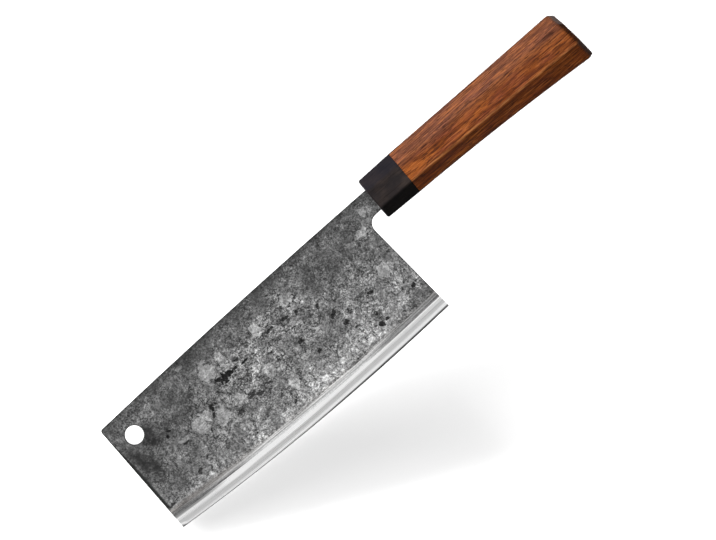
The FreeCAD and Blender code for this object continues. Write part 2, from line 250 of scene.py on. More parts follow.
# Outline
blade_length = 186
blade_depth = belly_radius - belly_centre[1]
spine_crown = 0.94
front_slant = math.tan(math.radians(1.25))
front_corner = 1.5
heel_setback = 10
heel_slant = math.tan(math.radians(2.3))
choil_radius = 5.7
choil_steps = 12
neck_height = 13
neck_end = 5
choil_top = -neck_height - choil_radius
choil_middle = choil_radius - heel_setback
hole_centre = (-174.1, -13.5)
hole_radius = 5
hole_margin = 2.2

# Half thicknesses, heights over the edge, and how much the faces fall for each millimetre
half_spine = 1.5
half_core = 0.6
half_shoulder = 0.85
half_edge_bevel = 0.17
front_thinning = 0.2
shoulder_over_edge = 10.4
edge_bevel_height = 1
fall_to_front = front_thinning / blade_length
fall_to_edge = half_spine + fall_to_front * belly_centre[0] - half_shoulder
fall_to_edge /= blade_depth - shoulder_over_edge
bevel_slope = (half_shoulder - half_edge_bevel) / (shoulder_over_edge - edge_bevel_height)
core_strip_height = edge_bevel_height + (half_core - half_edge_bevel) / bevel_slope

# How far over the edge the grinding reaches at the heel and at the front
brushed_at_heel = 10.7
brushed_at_front = 10.3
brushed_run = 160

# Tang, at the neck and at its tip
tang_tip = 88
tang_depths = (9.5, 6)
tang_halves = (1.3, 1)
handle_droop = math.radians(2)
notch_shares = (0.3, 0.55, 0.8)
notch_radius = 1.2
notch_steps = 8

# The mesh's cells, and the eased borders of the forged face
cell = 0.5
closest = 0.15
eased_width = 0.3
eased_drop = 0.12
first_row = 0.1

# How far the scale stands up, how deep the pits go, and the farthest that one shows from its middle
scale_relief = 0.05
pit_depth = 0.16
pit_reach = 9

# Dark pits on the photographed side: how far from the front end and below the spine, length, width and turn
pits_left = [
    (62.4, 21.2, 3.4, 2.2, 0), (66, 22.6, 6, 4.8, 10), (70.2, 22.8, 4.4, 3, 0),
    (74, 22.6, 2.8, 1.8, -10), (77.3, 20, 2.4, 1.8, 0), (79.8, 23.6, 4, 1.3, 8),
    (66.5, 25.2, 3, 1.6, 20), (29.1, 34.7, 4.4, 1.6, 2), (24.6, 50.8, 3.8, 3, 40),
    (2.6, 53.8, 6, 1.8, 6), (51, 30.4, 1.7, 5.4, 0), (53, 29.2, 5, 1.5, -18),
    (49.5, 33.8, 4.4, 1.3, 39), (71.5, 39, 5.6, 3, 20), (75, 41.4, 4.4, 2, -20),
    (61.4, 41.8, 4, 2.8, 0), (82.1, 40.4, 4.4, 1.6, -35), (80, 43.6, 3.6, 1.6, 60),
    (85.8, 57, 2, 2.4, 0), (26.4, 24, 2.6, 2, 0), (24.4, 26, 2.2, 1.8, 40),
    (100.7, 20.3, 5, 1.8, 5), (110.4, 21, 5.4, 1.9, -4), (117.4, 23, 3.4, 2.2, 30),
    (108.6, 35.5, 3.4, 2.4, 0), (112.8, 45.8, 3.4, 2.2, 50), (127.4, 27.9, 3.2, 1.7, 60),
    (130.8, 36.6, 4.8, 2.6, 35), (133, 44.4, 3.4, 3, 10), (146, 57.2, 3, 3.6, 45),
    (147.8, 51.5, 2.4, 1.7, 30), (150, 57, 2.2, 1.8, 0), (153, 41.2, 3.6, 1.7, -20),
    (171.8, 53.3, 3.2, 2.4, 70),
]

# Pale patches there, where the scale has come off: the same distances, and two sizes
bare_left = [
    (41, 32, 4.6, 4.4), (45.6, 31, 3.2, 4), (42, 36.5, 3.6, 2.8), (54, 36.5, 3.8, 4.4),
    (51, 39.5, 3.6, 3), (66.6, 36.8, 3.2, 4), (86.4, 36.4, 3.4, 4.2), (92.6, 48.6, 3.4, 4.8),
    (71.6, 15, 3.2, 5.4), (62, 14.4, 4.6, 6), (77.2, 24.4, 2.2, 1.6), (95.2, 15.5, 3.2, 4.2),
    (118, 14, 4, 4), (108.5, 51.5, 3, 2.4), (165.4, 37.6, 3.8, 5.4), (106, 42.6, 3.4, 2),
    (28.6, 55.4, 2.2, 1.4), (105.4, 58.6, 2.2, 2), (136.2, 59.2, 2.2, 1.8), (52.6, 3.4, 2.4, 1.2),
    (29.4, 33, 3, 1.4), (177, 7.4, 1.8, 3), (170, 15, 3, 2.8), (112, 26, 1.8, 1.6),
    (82.4, 30, 2.2, 2.6),
]

# Wide soft shades on both sides: the same distances, two sizes and how much lighter they are
shades = [
    (3.5, 22, 2.6, 5, -0.13), (6, 27, 3.2, 6, -0.2), (9.5, 33.5, 3.6, 6, -0.19),
    (17.8, 17, 3, 4.6, -0.23), (16.6, 22.2, 3.6, 4.8, -0.21), (25.4, 24, 4, 3.6, -0.1),
    (35, 24, 5, 3.4, -0.09), (8, 40, 10, 9, -0.07), (61.5, 2.6, 8, 3.6, -0.07),
    (75, 33, 30, 18, 0.03), (176, 61.5, 12, 3, -0.2), (166, 59.5, 14, 2.6, -0.12),
    (90, 27, 26, 9, 0.05), (126, 57, 34, 7, 0.08), (34, 20, 14, 9, -0.03),
    (150, 19, 14, 9, -0.05), (12, 55.5, 14, 3.5, -0.07), (112, 33, 9, 7, 0.03),
    (145, 40, 26, 12, 0.05), (95.2, 15.5, 4, 4.4, 0.1), (118, 14, 5, 5, 0.06),
    (104, 14, 10, 4, 0.03), (74, 39, 7, 5, -0.1), (61.2, 41.6, 3.6, 3, -0.1),
    (56, 30, 2.6, 2.6, -0.1), (66, 15.5, 9, 6, 0.11), (108.6, 35.5, 5, 5, -0.08),
    (113, 45.6, 5, 4, -0.07), (129.7, 10.4, 8, 4.6, -0.05), (143.7, 21.3, 3.6, 3, -0.08),
    (20, 47, 12, 5, -0.04), (185, 4.5, 3.5, 4, -0.05), (28, 36, 24, 24, -0.035),
    (36, 10, 24, 12, -0.025), (41.5, 33, 5.5, 5.5, 0.05), (54, 37, 4.5, 5, 0.05),
    (92, 60.5, 38, 3.2, 0.065), (70, 27.5, 11, 3.2, -0.11), (136, 5, 9, 3, 0.04),
    (170, 15, 5, 5, 0.04), (169, 38, 8, 8, 0.06), (177, 7, 3, 4, 0.06),
    (87, 50, 3, 5, 0.06), (150, 44, 3.5, 4, -0.09), (73, 44, 2.6, 2.6, -0.1),
    (64, 48, 3, 3, 0.06), (45, 46, 5, 3, -0.06), (29, 55.6, 6, 1.8, 0.1),
    (98.5, 50, 2.4, 3.4, -0.08), (142, 59, 3, 2.4, -0.08), (48.5, 38, 2.4, 3, 0.05),
]

# Where the scale is roughest, on both sides: the same distances, two sizes and how much rougher it is
rough_areas = [(68, 32, 28, 18, 0.3), (110, 20, 34, 12, 0.3), (140, 46, 44, 14, 0.2)]

# How light the scale is at each distance below the spine
tones_below_spine = [(0, 0.28), (2.5, 0.33), (6, 0.4), (12, 0.42), (24, 0.43), (36, 0.45)]
tones_below_spine += [(48, 0.49), (55, 0.53), (60, 0.6), (80, 0.62)]

# What each point of a cladding keeps for its relief and its finish
cladding_marks = ("tone", "pit", "bare", "grit", "rim", "ground", "face")


def to_frame(x, y, z):
    """From millimetres on the knife to metres in the shared frame."""
    return knife_origin + Vector((x, y, z)) * millimetre


def between(start, end, share):
    return start + (end - start) * share


def step_between(value, low, high):
    share = min(max((value - low) / (high - low), 0), 1)
    return share * share * (3 - 2 * share)


def spine_height(x):
    share = min(x, 0) / (blade_length / 2) + 1
    return spine_crown * (1 - share ** 2)


def front_line(y):
    return -blade_length + y * front_slant


def heel_line(y):
    return -heel_setback + max(0, choil_top - y) * heel_slant


def neck_floor(x):
    """The underside of the neck, with the round of the choil."""
    reach = min(x - choil_middle, 0)
    return choil_top + math.sqrt(max(choil_radius ** 2 - reach ** 2, 0))


def half_thickness(x, y):
    """Half of the blade's thickness at its forged faces, which fall to the edge and to the front."""
    return half_spine + fall_to_front * min(x, -1) + fall_to_edge * y


def over_edge(x, y):
    return belly_radius - math.hypot(x - belly_centre[0], y - belly_centre[1])


def shoulder_height(x, y):
    """How far over the edge the bevel meets the forged face."""
    return edge_bevel_height + (half_thickness(x, y) - half_edge_bevel) / bevel_slope


def brushed_height(x):
    """How far over the edge the grinding reaches, a little past the bevel at the front."""
    return between(brushed_at_heel, brushed_at_front, min(max(-x / brushed_run, 0), 1))


def column_foot(share, height_at):
    """Where a column, a share of the way from front to heel, comes down to a height over the edge."""
    y = -60
    for _ in range(8):
        x = between(front_line(y), heel_line(y), share)
        reach = belly_radius - height_at(x, y)
        y = belly_centre[1] - math.sqrt(reach ** 2 - (x - belly_centre[0]) ** 2)
    return y


def eased_corner(x, y):
    """Rounds the corner of the spine and the front end."""
    across = front_corner - (x - front_line(y))
    down = front_corner - (spine_height(x) - y)
    if across <= 0 or down <= 0:
        return x, y
    shrink = 1 - max(across, down) / math.hypot(across, down)
    return x + across * shrink, y - down * shrink


def rim_distance(x, y):
    """How far a point of the face lies inside the nearest border, the bevel's apart."""
    from_front = x - front_line(y)
    from_spine = spine_height(x) - y
    near = min(from_front, from_spine)
    if from_front < front_corner and from_spine < front_corner:
        near = front_corner - math.hypot(front_corner - from_front, front_corner - from_spine)
    near = min(near, math.hypot(x - hole_centre[0], y - hole_centre[1]) - hole_radius)
    if y < choil_top:
        near = min(near, heel_line(y) - x)
    elif x < choil_middle:
        near = min(near, math.hypot(x - choil_middle, y - choil_top) - choil_radius)
    else:
        near = min(near, y + neck_height)
    return max(near, 0)


def places(start, end, ease_start=True, ease_end=True):
    """Places from start to end about a cell apart, with closer ones at an eased border."""
    count = round((end - start) / cell)
    inner = [between(start, end, number / count) for number in range(1, count)]
    first = [start, start + first_row, start + eased_width] if ease_start else [start]
    last = [end - eased_width, end - first_row, end] if ease_end else [end]
    return first + [p for p in inner if first[-1] + closest < p < last[0] - closest] + last


def faces_between(rows):
    """Faces between rows of points. Two corners that fall on one point make a triangle."""
    faces = []
    for upper, lower in zip(rows, rows[1:]):
        for number in range(len(upper) - 1):
            face = (upper[number], upper[number + 1], lower[number + 1], lower[number])
            if None not in face:
                faces.append(tuple(dict.fromkeys(face)))
    return faces


class Shell:
    """Points in millimetres and the faces between them."""

    def __init__(self):
        self.points = []
        self.faces = []
        self.on_face = []

    def point(self, x, y, z, on_face=False):
        self.points.append((x, y, z))
        self.on_face.append(on_face)
        return len(self.points) - 1

    def skin_point(self, x, y):
        """A point of the forged face, which falls away at its borders."""
        ease = max(0, 1 - rim_distance(x, y) / eased_width) ** 2
        return self.point(x, y, half_thickness(x, y) - eased_drop * ease, True)

    def panel(self, rows):
        self.faces += faces_between(rows)

    def foot(self, index):
        """The point under another one, on the core."""
        x, y, _ = self.points[index]
        return self.point(x, y, half_core)


def tang_outline():
    """The tang's upper edge from the neck to the tip, then its lower edge back, with the notches in both."""
    loop = []
    narrowing = (tang_depths[0] - tang_depths[1]) / 2 / (tang_tip - neck_end)
    for side in (1, -1):
        edge = []
        lean = -math.tan(handle_droop) - side * narrowing
        for share in (0, *notch_shares, 1):
            x = between(neck_end, tang_tip, share)
            y = -neck_height / 2 - x * math.tan(handle_droop) + side * between(*tang_depths, share) / 2
            if share in (0, 1):
                edge.append((x, y))
                continue
            for step in range(notch_steps + 1):
                turn = math.pi * (1 - step / notch_steps)
                forth = notch_radius * math.cos(turn)
                inward = -side * notch_radius * math.sin(turn)
                edge.append((x + forth, y + forth * lean + inward))
        loop += edge if side > 0 else edge[::-1]
    return loop


def cladding_shell():
    """The face as a fine grid, with its walls and half of the tang, and the loops that lie on the core."""
    shell = Shell()
    heel_top = spine_height(-heel_setback)
    heel_foot = column_foot(1, shoulder_height)
    choil_row = heel_top - choil_top
    upper_rows = places(0, choil_row)
    lower_rows = places(choil_row, heel_top - heel_foot, False, False)[1:]
    row_shares = [place / (heel_top - heel_foot) for place in upper_rows + lower_rows]
    width = blade_length - heel_setback
    column_shares = [place / width for place in places(0, width)]
    feet = [column_foot(share, shoulder_height) for share in column_shares]
    core_feet = [column_foot(share, lambda x, y: core_strip_height) for share in column_shares]
    flats = []
    for row_share in row_shares:
        row = []
        for share, foot in zip(column_shares, feet):
            y = between(spine_height(-blade_length + share * width), foot, row_share)
            row.append(eased_corner(between(front_line(y), heel_line(y), share), y))
        flats.append(row)

    # The cells round the hole are left out of the grid
    reach = hole_radius + hole_margin
    hole_row = min(flats, key=lambda row: abs(row[0][1] - hole_centre[1]))
    columns_cut = [n for n, (x, _) in enumerate(hole_row) if abs(x - hole_centre[0]) < reach]
    rows_cut = [n for n, row in enumerate(flats) if abs(row[columns_cut[0]][1] - hole_centre[1]) < reach]
    left, right, top, bottom = columns_cut[0], columns_cut[-1], rows_cut[0], rows_cut[-1]
    grid = []
    for row_number, row in enumerate(flats):
        at_hole = top < row_number < bottom
        made = []
        for number, (x, y) in enumerate(row):
            made.append(None if at_hole and left < number < right else shell.skin_point(x, y))
        grid.append(made)
    shell.panel(grid)

    # Rings of points from the hole out to the grid round it
    border = [grid[top][n] for n in range(left, right)] + [grid[n][right] for n in range(top, bottom)]
    border += [grid[bottom][n] for n in range(right, left, -1)]
    border += [grid[n][left] for n in range(bottom, top, -1)]
    rings = []
    for share in (0, 0.03, 0.1, 0.2, 0.35, 0.5, 0.65, 0.8):
        ring = []
        for index in border:
            x, y, _ = shell.points[index]
            turn = math.atan2(y - hole_centre[1], x - hole_centre[0])
            rim_x = hole_centre[0] + hole_radius * math.cos(turn)
            rim_y = hole_centre[1] + hole_radius * math.sin(turn)
            ring.append(shell.skin_point(between(rim_x, x, share), between(rim_y, y, share)))
        rings.append(ring + ring[:1])
    rings.append(border + border[:1])
    shell.panel(rings)

    # The ground strip between the forged face and the bright core
    strip = [grid[-1]]
    for share in (0.1, 0.25, 0.45, 0.65, 0.83, 1):
        row = []
        for column_share, foot, core_foot in zip(column_shares, feet, core_feet):
            y = between(foot, core_foot, share)
            x = between(front_line(y), heel_line(y), column_share)
            height = half_edge_bevel + bevel_slope * (over_edge(x, y) - edge_bevel_height)
            row.append(shell.point(x, y, height, True))
        strip.append(row)
    shell.panel(strip)

    # The neck, from the choil into the ferrule
    choil_turns = [math.pi / 2 / choil_steps * step for step in range(1, choil_steps + 1)]
    neck_places = [choil_middle - choil_radius * math.cos(turn) for turn in choil_turns]
    neck_places += places(choil_middle, neck_end, False, False)[1:]
    neck_grid = []
    for number, place in enumerate(upper_rows):
        row = [grid[number][-1]]
        for x in neck_places:
            row.append(shell.skin_point(x, between(spine_height(x), neck_floor(x), place / choil_row)))
        neck_grid.append(row)
    shell.panel(neck_grid)

    # Walls down to the core, with the tang standing out of the neck's end
    spine_run = grid[0] + neck_grid[0][1:]
    choil_run = neck_grid[-1][::-1] + [row[-1] for row in grid[len(upper_rows):] + strip[1:]]
    front_run = [row[0] for row in strip[::-1] + grid[-2::-1]]
    spine_feet = [shell.foot(index) for index in spine_run]
    choil_feet = [shell.foot(index) for index in choil_run[:-1]] + [choil_run[-1]]
    front_feet = [front_run[0]] + [shell.foot(index) for index in front_run[1:-1]] + [spine_feet[0]]
    hole_feet = [shell.foot(index) for index in rings[0][:-1]]
    shell.panel([spine_run, spine_feet])
    shell.panel([choil_run, choil_feet])
    shell.panel([front_run, front_feet])
    shell.panel([rings[0], hole_feet + hole_feet[:1]])
    tang_top = []
    tang_foot = []
    for x, y in tang_outline():
        tang_top.append(shell.point(x, y, between(*tang_halves, (x - neck_end) / (tang_tip - neck_end))))
        tang_foot.append(shell.point(x, y, half_core))
    shell.faces.append(tuple(tang_top))
    shell.panel([tang_top, tang_foot])
    neck_wall = [row[-1] for row in neck_grid]
    neck_wall += [choil_feet[0], tang_foot[-1], tang_top[-1], tang_top[0], tang_foot[0], spine_feet[-1]]
    shell.faces.append(tuple(neck_wall))
    back = [spine_feet + tang_foot + choil_feet + strip[-1][-2::-1] + front_feet[1:-1], hole_feet]
    return shell, back


def wandering(x, y, *waves):
    """An uneven number about nothing at a point. A wave has its fineness, its seed and its strength."""
    return sum(noise.noise(Vector((x * fine, y * fine, seed))) * strong for fine, seed, strong in waves)


def spread(along, down, spot):
    """How far a point is from a soft spot, squared, in the spot's own sizes."""
    spot_along, spot_down, long, wide, _ = spot
    return ((along - spot_along) / long) ** 2 + ((down - spot_down) / wide) ** 2


def shade_at(x, y):
    """How light the scale is at a point of the face. It darkens to near black along the front end's border.
    """
    down = max(-y, 0)
    tone = 0
    for (start, low), (end, high) in zip(tones_below_spine, tones_below_spine[1:]):
        if start <= down <= end:
            tone = between(low, high, (down - start) / (end - start))
    ragged = wandering(x, y, (0.4, 3, 0.9), (1, 5, 0.6))
    for spot in shades:
        tone += spot[-1] * math.exp(-max(spread(x + blade_length, down, spot) + ragged, 0))
    front_dark_width = between(0.5, 2.1, step_between(down, 8, 30))
    return max(tone, 0.14) * between(0.15, 1, step_between(x - front_line(y), front_dark_width * 0.5, front_dark_width))


def pit_at(x, y, side, pits):
    """From 0 on the face to 1 in the bottom of a pit."""
    wander = wandering(x, y, (0.7, side * 7, 0.7), (1.2, side * 9, 0.6))
    deepest = 0
    for pit_along, pit_down, long, wide, turn in pits:
        across = x + blade_length - pit_along
        down = -y - pit_down
        if abs(across) > pit_reach or abs(down) > pit_reach:
            continue
        lean = math.radians(turn)
        forth = across * math.cos(lean) - down * math.sin(lean)
        beside = across * math.sin(lean) + down * math.cos(lean)
        far = math.hypot(forth / (long / 2), beside / (wide / 2)) + wander
        deepest = max(deepest, 1 - step_between(far, 0.55, 1.25))
    return deepest


def bare_at(x, y, side, patches):
    """From 0 under full scale to 1 where the scale has come off."""
    wander = wandering(x, y, (0.3, side * 11, 0.5), (0.8, side * 13, 0.35))
    barest = 0
    for patch_along, patch_down, long, wide in patches:
        far = math.hypot((x + blade_length - patch_along) / long, (-y - patch_down) / wide)
        if far < 2:
            barest = max(barest, 1 - step_between(far + wander, 0.55, 1.35))
    return barest


def grit_at(x, y):
    """How rough the scale is at a point of the face."""
    return 0.75 + sum(area[-1] * math.exp(-spread(x + blade_length, -y, area)) for area in rough_areas)


def forge_pattern(place):
    """Broad patches of scale, small chips with a shade of their own, and two sizes of grain."""
    wave = place.then("ShaderNodeTexNoise", {"Vector": place, "Scale": 0.16, "Detail": 3}, "Color")
    warp = wave.moved((0.5, 0.5, 0.5)).stretched((7, 7, 7))
    warped = place.moved(warp, "ADD")
    patch = warped.cloudy(0.13, 6, 0.62).step(0.47, 0.57)
    chip = place.then("ShaderNodeTexVoronoi", {"Vector": warped, "Scale": 0.26}, "Color").axes()[0]
    grain = warped.cloudy(0.42, 3, 0.6)
    fine = place.cloudy(1.1, 3, 0.75)
    return patch, chip, grain, fine


def painted(colour):
    """The light of a colour given in parts from 0 to 255, as on a screen. A pattern is left as it is."""
    if isinstance(colour, Pattern):
        return colour
    light = []
    for part in colour:
        share = part / 255
        light.append(share / 12.92 if share <= 0.04045 else ((share + 0.055) / 1.055) ** 2.4)
    return (*light, 1)


def forged_finish():
    """Mottled grey scale over the face, and dull brushed metal on the ground strip."""
    material, shader, position = new_finish("forged_scale")
    shade, pit, bareness, roughest, rim, under_border, face = [position.mark(name) for name in cladding_marks]
    place = blade_place(position)
    along, across, _ = place.axes()
    patch, chip, grain, fine = forge_pattern(place)
    cloud = place.cloudy(0.1, 4, 0.6)

    # Pale patches with painted shade round their rim, in scale whose grain is stronger in the rough areas
    open_share = bareness + (grain.swing(1.3) + chip.swing(0.3))
    bare = open_share.step(0.5, 0.6)
    patch_rim_shade = open_share.step(0.3, 0.48) * bare.step(0, 0.6, 1, 0)
    grit = roughest * cloud.step(0.3, 0.7, 0.6, 1.4) * bare.step(0, 1, 1, 0.68)
    swing = (grain.swing(1.9) + fine.swing(3.2) + chip.swing(0.26)) * grit
    swing = swing + cloud.swing(0.7) + patch.swing(0.13)
    tone = shade * (swing + 0.92) + bare * 0.15 - patch_rim_shade * 0.07
    wave = place.moved((40, 20, 0)).cloudy(0.3, 4, 0.65)
    crack = abs(wave - 0.5).step(0, 0.03, 0.12, 0)
    tone = tone - crack * grit

    # Dark pits with pale frayed rims of painted highlight, and small specks between them
    frayed = (fine.swing(2.6) + grain.swing(3.6)) * pit.step(0, 0.25)
    accent_mask = (pit + frayed).step(0.42, 0.56)
    pit_rim_highlight = pit.step(0.02, 0.3) * fine.step(0.5, 0.62)
    tone = tone + pit_rim_highlight * 0.18
    speck = place.cloudy(0.5, 3, 0.7).step(0.29, 0.36, 0.75, 0) * roughest
    paler_low = along.step(-104, -80, 0.09, 0)
    pit_tone = fine.step(0.35, 0.65, 0.07, 0.2) + along.step(-108, -70, 0, 0.04)
    pit_tone = pit_tone + across.step(-38, -30, paler_low, 0)
    tone = accent_mask.larger(speck).mix(tone, pit_tone)
    tone = tone * rim.step(0, 0.8, 0.55, 1)

    # The ground strip, with a ragged border that is softer at the front, and duller towards both ends
    height = height_over_edge(place)
    lines = grinding_lines(place, height)
    streaks = grinding_lines(place, height * 0.42)
    border = under_border + grain.swing(1.6) + streaks.swing(4)
    near_front = along.step(-176, -130, 1, 0)
    ground = border.step(near_front.step(0, 1, -0.5, -3), 0.6) * face
    # A painted shade line along the strip's border
    border_shade_line = abs(border).step(0, 0.4, 0.2, 0) * cloud.step(0.4, 0.6)
    middle = along.step(-180, -104) * along.step(-74, -26, 1, 0)
    foot = height.step(7.2, 9, 0.16, 0) * middle.step(0.2, 0.8, 1, 0)
    strip_tone = middle.step(0, 1, 0.57, 0.87) - foot
    strip_tone = strip_tone + streaks.swing(1) + lines.swing(0.55) + fine.swing(0.5)
    strip_tone = accent_mask.mix(strip_tone, pit_tone)
    tone = ground.mix(tone, strip_tone) - border_shade_line

    rust = abs(under_border).step(0, 2.6, 1, 0) * along.step(-178, -120, 0.4, 0.12)
    tint = rust.tint(tone.grey(), (168, 150, 134), "MULTIPLY")
    rough = ground.mix(grain.step(0.3, 0.7, 0.62, 0.46), 0.36)
    metal = ground.step(0, 1, 0.4, 0.95)
    bump = (fine * (1 - ground)).bump(0.5, 0.00008)
    gloss = accent_mask.step(0, 1, 0.5, 0.05)
    feed(shader, Base_Color=tint, Metallic=metal, Roughness=rough, Normal=bump, Specular_IOR_Level=gloss)
    return material


def relief_tree():
    """Lifts and sinks the forged face with the same pattern that its finish shows."""
    tree = bpy.data.node_groups.new("forged_relief", "GeometryNodeTree")
    tree.interface.new_socket("Geometry", in_out="OUTPUT", socket_type="NodeSocketGeometry")
    inputs = {"Geometry": "Geometry", "Scale Relief": "Float", "Pit Depth": "Float", "Finish": "Material"}
    for name, kind in inputs.items():
        tree.interface.new_socket(name, in_out="INPUT", socket_type="NodeSocket" + kind)
    sockets = add(tree, "NodeGroupInput").outputs
    skin, scale_height, sink, finish = [Pattern(tree, sockets[name]) for name in inputs]
    place = blade_place(Pattern(tree, add(tree, "GeometryNodeInputPosition").outputs[0]))
    patch, chip, grain, _ = forge_pattern(place)
    marks = ("pit", "bare", "rim", "ground", "face")
    kept = [place.then("GeometryNodeInputNamedAttribute", {"Name": name}) for name in marks]
    pit, bareness, rim, under_border, face = kept
    rise = patch.swing(0.5) + chip.swing(0.5) + grain.swing(1.4) - bareness * 0.35
    rise = rise * scale_height - pit * sink
    room = rim.step(0.2, 1.4) * face * under_border.step(-1.4, -0.2, 1, 0)
    side = place.axes()[2].sign()
    offset = place.then("ShaderNodeCombineXYZ", {2: rise * room * (side * millimetre)})
    shaped = skin.then("GeometryNodeSetPosition", {"Geometry": skin, "Offset": offset})
    whole = skin.then("GeometryNodeRealizeInstances", {0: shaped})
    dressed = skin.then("GeometryNodeSetMaterial", {"Geometry": whole, "Material": finish})
    add(tree, "NodeGroupOutput", {0: dressed})
    return tree


def mesh_object(name, points, faces):
    mesh = bpy.data.meshes.new(name)
    mesh.from_pydata(points, [], faces)
    piece = bpy.data.objects.new(name, mesh)
    bpy.context.scene.collection.objects.link(piece)
    return piece


def close_up(piece, loops=()):
    """Fills flat loops of points with faces, and turns every face outward."""
    made = bmesh.new()
    made.from_mesh(piece.data)
    made.verts.ensure_lookup_table()
    border = []
    for loop in loops:
        for start, end in zip(loop, loop[1:] + loop[:1]):
            ends = (made.verts[start], made.verts[end])
            border.append(made.edges.get(ends) or made.edges.new(ends))
    if border:
        bmesh.ops.triangle_fill(made, use_beauty=True, edges=border)
    bmesh.ops.recalc_face_normals(made, faces=made.faces)
    made.to_mesh(piece.data)
    made.free()


def smooth_but_sharp(piece, degrees):
    """Smooth shading, broken where faces meet at more than an angle."""
    piece.data.shade_smooth()
    piece.data.set_sharp_from_angle(angle=math.radians(degrees))


def keep_marks(piece, marks):
    """Keeps a number on each point under each mark's name."""
    for mark, values in marks.items():
        piece.data.attributes.new(mark, "FLOAT", "POINT").data.foreach_set("value", values)


def stand_for(piece, node):
    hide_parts(node)
    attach(piece, "root")


def cladding(node, side, shell, back, pits, patches):
    """One side's cladding, with its relief made by the tree and its marks kept for the finish."""
    piece = mesh_object("forged_" + node, [to_frame(x, y, z * side) for x, y, z in shell.points], shell.faces)
    close_up(piece, back)
    rows = []
    for (x, y, _), on_face in zip(shell.points, shell.on_face):
        pit = pit_at(x, y, side, pits) if on_face else 0
        bare = bare_at(x, y, side, patches) if on_face else 0
        under_border = brushed_height(x) - over_edge(x, y)
        rim = rim_distance(x, y)
        rows.append((shade_at(x, y), pit, bare, grit_at(x, y), rim, under_border, float(on_face)))
    keep_marks(piece, dict(zip(cladding_marks, zip(*rows))))
    settings = {"Scale Relief": scale_relief, "Pit Depth": pit_depth, "Finish": scale_finish}
    relief = piece.modifiers.new("forged_relief", "NODES")
    relief.node_group = forged_relief
    for socket in forged_relief.interface.items_tree:
        if socket.in_out == "INPUT" and socket.name in settings:
            relief[socket.identifier] = settings[socket.name]
    drawn = piece.evaluated_get(bpy.context.evaluated_depsgraph_get())
    piece.data = bpy.data.meshes.new_from_object(drawn)
    piece.modifiers.clear()
    smooth_but_sharp(piece, 40)
    stand_for(piece, node)


scale_finish = forged_finish()
forged_relief = relief_tree()
outer_shell, core_side = cladding_shell()
cladding("cladding_left", 1, outer_shell, core_side, pits_left, bare_left)

# The side that lies on the sheet has pits and patches of its own, drawn by chance within these ranges
chance = random.Random(31)
pit_ranges = ((8, 172), (8, 56), (2, 5), (0.9, 2.2), (-60, 60))
patch_ranges = ((30, 170), (10, 56), (3, 6), (2.4, 5))
pits_right = [[chance.uniform(*ends) for ends in pit_ranges] for _ in range(16)]
bare_right = [[chance.uniform(*ends) for ends in patch_ranges] for _ in range(17)]
cladding("cladding_right", -1, outer_shell, core_side, pits_right, bare_right)


# Split dowel. Two half-round pieces of plain pale wood with a slot cut in their flats, closed round the tang
# and glued into the bores of the ferrule and the grip. None of it shows.

handle_origin = to_frame(0, -neck_height / 2, 0)


def handle_place(position):
    """Millimetres along the handle's own axis, which droops a little from the blade."""
    feeds = {"Vector": position, "Location": handle_origin, "Rotation": (0, 0, -handle_droop)}
    feeds["Scale"] = (millimetre, millimetre, millimetre)
    return position.then("ShaderNodeMapping", feeds, vector_type="TEXTURE")


def plain_wood_finish():
    material, shader, position = new_finish("plain_wood")
    fibres = handle_place(position).stretched((0.04, 1, 1)).cloudy(1.2, 4, 0.6)
    tint = fibres.step(0.3, 0.7).tint((168, 132, 92), (206, 172, 128))
    feed(shader, Base_Color=tint, Roughness=0.7, Normal=fibres.bump(0.2, 0.0001))
    return material


dowel_finish = plain_wood_finish()
dress("dowel_left", dowel_finish)
dress("dowel_right", dowel_finish)


# Epoxy bed. Dark resin poured round the neck and the tang when the handle is put on. It shows only as a thin
# line in the ferrule's mouth.


def epoxy_finish():
    material, shader, position = new_finish("epoxy_bed")
    cloud = handle_place(position).cloudy(0.8, 3, 0.5)
    tint = cloud.step(0.3, 0.7).tint((18, 16, 15), (38, 34, 31))
    rough = cloud.step(0.3, 0.7, 0.4, 0.55)
    feed(shader, Base_Color=tint, Roughness=rough, Specular_IOR_Level=0.2)
    return material


dress("tang_bedding", epoxy_finish())


# Ferrule. An eight-sided collar of black, resin-filled wood, cut square to the handle, bored for the dowel
# and slotted for the neck. Its facets run on into the grip's.

# Sections: crown and belly from the axis, half width, then how far the upper, lower and side bevels cut in
mouth_section = (12.4, 12.1, 10.2, 6.9, 6.5, 6.2)
seam_section = (13.05, 12.4, 10.6, 7.1, 7, 6.5)
ferrule_length = 21.3
front_wall = 6
bore_radius = 7.1
slot_half_height = 6.9
slot_half_width = 1.9
front_ease = 0.95
facet_start = 0.7
seam_ease = 0.16

# Each corner of a section is eased over five points, with four more along the facet after it
corner_ease = 0.55
corner_points = 5
facet_points = 4

# Corner and step of points with painted shade, just under the arris of the side and lower bevel, both sides
under_arris_shade_points = ((2, 4), (2, 5), (2, 6), (4, 7), (4, 8), (5, 0))
# The side facets' lower arrises get a painted highlight, the outline's corners painted shade
arris_corners = (2, 5)
outline_shade_corners = (0, 3, 4, 7)


